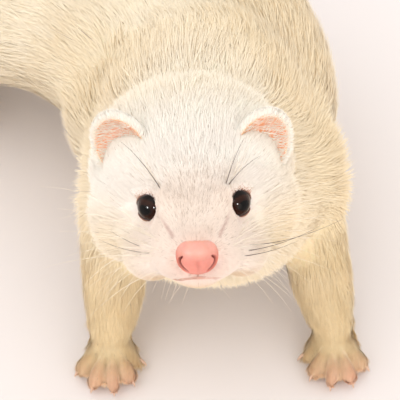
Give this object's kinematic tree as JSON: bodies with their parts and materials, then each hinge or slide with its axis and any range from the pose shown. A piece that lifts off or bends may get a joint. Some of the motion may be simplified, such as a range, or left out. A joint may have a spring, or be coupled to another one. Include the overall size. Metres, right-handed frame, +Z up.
{
  "type": "ferret",
  "caption": "Life-size standing cream-white ferret with dark eyes and a pink nose, head raised, body curved round to its right, tail on the floor.",
  "frame": {"origin": "middle of the outline's box on the floor plane", "axes": "+X to the animal's left, along the model's longest extent; -Y the way the face looks; +Z up"},
  "size_m": [0.3178, 0.2132, 0.1025],
  "materials": {
    "cream_fur": "soft short fur",
    "white_fur": "soft short fur",
    "paw_fur": "thin fur over pink skin",
    "ear_skin": "thin matte skin",
    "pink_nose_skin": "moist bare skin",
    "dark_eye": "wet gloss"
  },
  "bodies": {
    "root": {"belly": "cream_fur", "chest": "cream_fur", "ear_left": "ear_skin", "ear_right": "ear_skin", "eye_left": "dark_eye", "eye_right": "dark_eye", "forearm_left": "cream_fur", "forearm_right": "cream_fur", "front_paw_left": "paw_fur", "front_paw_right": "paw_fur", "head": "white_fur", "hind_foot_left": "paw_fur", "hind_foot_right": "paw_fur", "neck": "cream_fur", "nose": "pink_nose_skin", "rump": "cream_fur", "shank_left": "cream_fur", "shank_right": "cream_fur", "tail_base": "cream_fur", "tail_tip": "cream_fur", "thigh_left": "cream_fur", "thigh_right": "cream_fur", "upper_arm_left": "cream_fur", "upper_arm_right": "cream_fur"}
  },
  "joints": []
}
